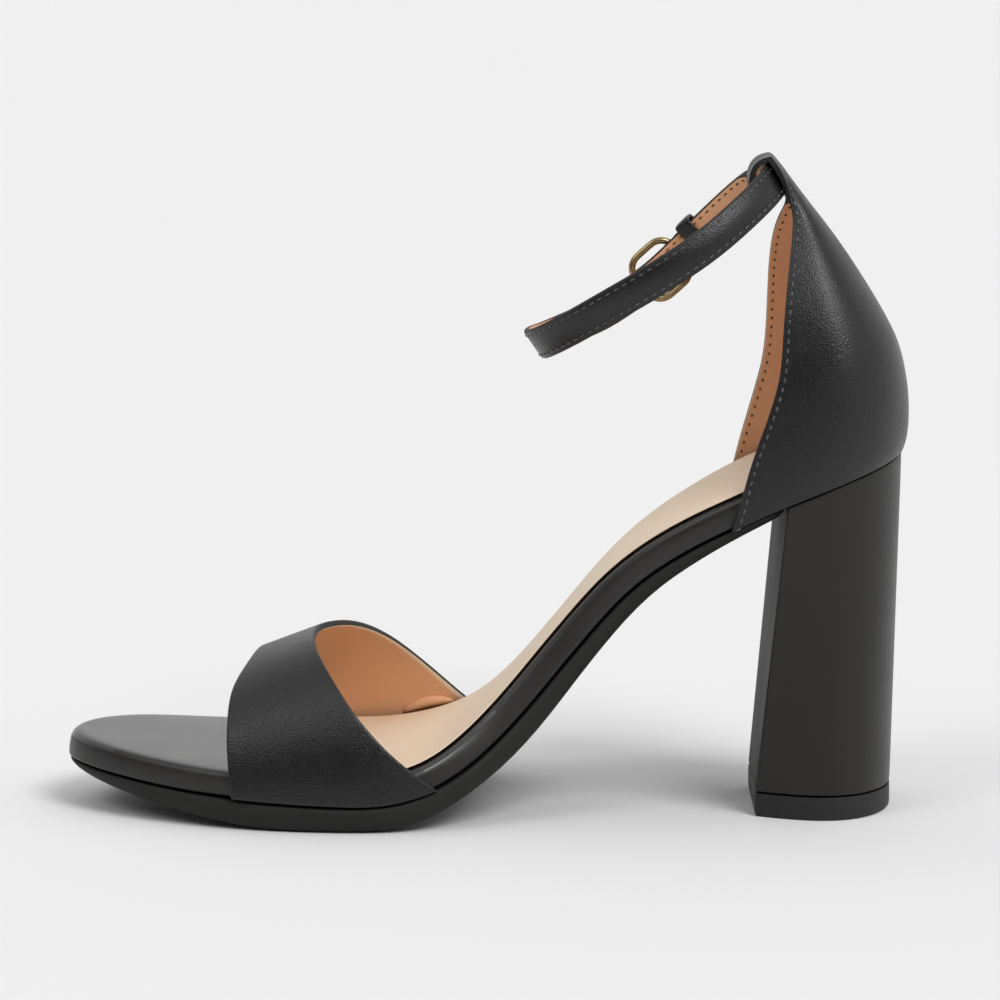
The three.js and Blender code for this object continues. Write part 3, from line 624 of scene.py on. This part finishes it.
# Heel block: a moulded plastic core wrapped in smooth black synthetic leather, with a duller flat
# breast and a round back. The wrap is pulled in at the breast's corners and trimmed at the tip.
block_corner_rounding = 0.0007
breast_facing = -0.9  # most forward part of a breast face's normal
heel_wrap = leather_finish(
    "heel wrap", colour=(0.011, 0.0098, 0.009), lighter=(0.018, 0.016, 0.015),
    gloss=(0.34, 0.44), cells=2200, wrinkles=500, depth=0.00004, strength=0.3, cloud_size=30)
breast_wrap = leather_finish(
    "heel breast wrap", colour=(0.011, 0.0098, 0.009), lighter=(0.018, 0.016, 0.015),
    gloss=(0.5, 0.6), cells=2200, wrinkles=500, depth=0.00004, strength=0.3, cloud_size=30,
    specular=0.12)
block_form = merged_copy("heel_block", flat_enough=25)
round_rims(block_form, block_corner_rounding, angle=38, segments=3)
for face in block_form.faces:
    face.material_index = 1 if face.normal.x < breast_facing else 0
finished("heel_block", block_form, [heel_wrap, breast_wrap], "heel_block", 2)

# Heel tip: a flat lift of hard black rubber. It is nailed on under the block and ground flush
# with it, which leaves its lower edge a little worn.
tip_edge_rounding = 0.0003
tip_rubber = leather_finish(
    "tip rubber", colour=(0.013, 0.013, 0.013), lighter=(0.02, 0.02, 0.02),
    gloss=(0.5, 0.62), cells=1500, wrinkles=500, depth=0.00004, strength=0.3, cloud_size=50)
tip_form = merged_copy("heel_tip", flat_enough=25)
round_rims(tip_form, tip_edge_rounding, angle=38)
finished("heel_tip", tip_form, [tip_rubber], "heel_tip", 2)

# Floor and light: a pale seamless paper floor in a room that is bright behind, above and to the
# right of the sandal and dark in front of it. A key light comes from the upper right in front, and
# a weaker side light from the upper left.
paper_grey, paper_light = 0.83, 0.84
floor_reach = 15
room_dark, room_bright = 0.06, 0.72
paper = bpy.data.materials.new("paper floor")
paper.use_nodes = True
paper_surface = paper.node_tree.nodes["Principled BSDF"]
paper_surface.inputs["Roughness"].default_value = 0.9
paper_surface.inputs["Specular IOR Level"].default_value = 0.2
paper_noise, _ = colour_noise(paper.node_tree, 3.0)
paper_mix = paper.node_tree.nodes.new("ShaderNodeMix")
paper_mix.data_type = "RGBA"
paper_mix.inputs["A"].default_value = (paper_grey, paper_grey, paper_grey, 1)
paper_mix.inputs["B"].default_value = (paper_light, paper_light, paper_light, 1)
paper.node_tree.links.new(paper_noise.outputs["Fac"], paper_mix.inputs["Factor"])
paper.node_tree.links.new(paper_mix.outputs["Result"], paper_surface.inputs["Base Color"])
floor_form = bmesh.new()
bmesh.ops.create_grid(floor_form, x_segments=1, y_segments=1, size=floor_reach)
floor_mesh = bpy.data.meshes.new("floor")
floor_form.to_mesh(floor_mesh)
floor_form.free()
floor_mesh.materials.append(paper)
floor = bpy.data.objects.new("floor", floor_mesh)
scene.collection.objects.link(floor)

room = bpy.data.worlds.new("room")
room.use_nodes = True
room_tree = room.node_tree
room_background = room_tree.nodes["Background"]
room_direction = room_tree.nodes.new("ShaderNodeSeparateXYZ")
room_tree.links.new(room_tree.nodes.new("ShaderNodeTexCoord").outputs["Generated"],
                    room_direction.inputs["Vector"])
room_shares = []
for room_axis, dark_at, bright_at in (("Y", -0.25, 0.55), ("Z", 0.3, 0.85), ("X", 0.35, 0.85)):
    share = room_tree.nodes.new("ShaderNodeMapRange")
    share.interpolation_type = "SMOOTHSTEP"
    share.inputs["From Min"].default_value = dark_at
    share.inputs["From Max"].default_value = bright_at
    room_tree.links.new(room_direction.outputs[room_axis], share.inputs["Value"])
    room_shares.append(share.outputs["Result"])
room_brightest = room_shares[0]
for share in room_shares[1:]:
    brighter = room_tree.nodes.new("ShaderNodeMath")
    brighter.operation = "MAXIMUM"
    room_tree.links.new(room_brightest, brighter.inputs[0])
    room_tree.links.new(share, brighter.inputs[1])
    room_brightest = brighter.outputs["Value"]
room_strength = room_tree.nodes.new("ShaderNodeMapRange")
room_strength.inputs["To Min"].default_value = room_dark
room_strength.inputs["To Max"].default_value = room_bright
room_tree.links.new(room_brightest, room_strength.inputs["Value"])
room_tree.links.new(room_strength.outputs["Result"], room_background.inputs["Strength"])
room_background.inputs["Color"].default_value = (1, 1, 1, 1)
scene.world = room
scene.view_settings.view_transform = "Standard"

for light_name, light_power, light_spread, light_from in (
        ("key light", 1.5, 28, (0.55, -0.75, 1.0)),
        ("side light", 0.35, 24, (-0.5, -0.42, 0.72))):
    light = bpy.data.objects.new(light_name, bpy.data.lights.new(light_name, "SUN"))
    light.data.energy = light_power
    light.data.angle = math.radians(light_spread)
    light.rotation_euler = (-Vector(light_from)).to_track_quat("-Z", "Y").to_euler()
    scene.collection.objects.link(light)
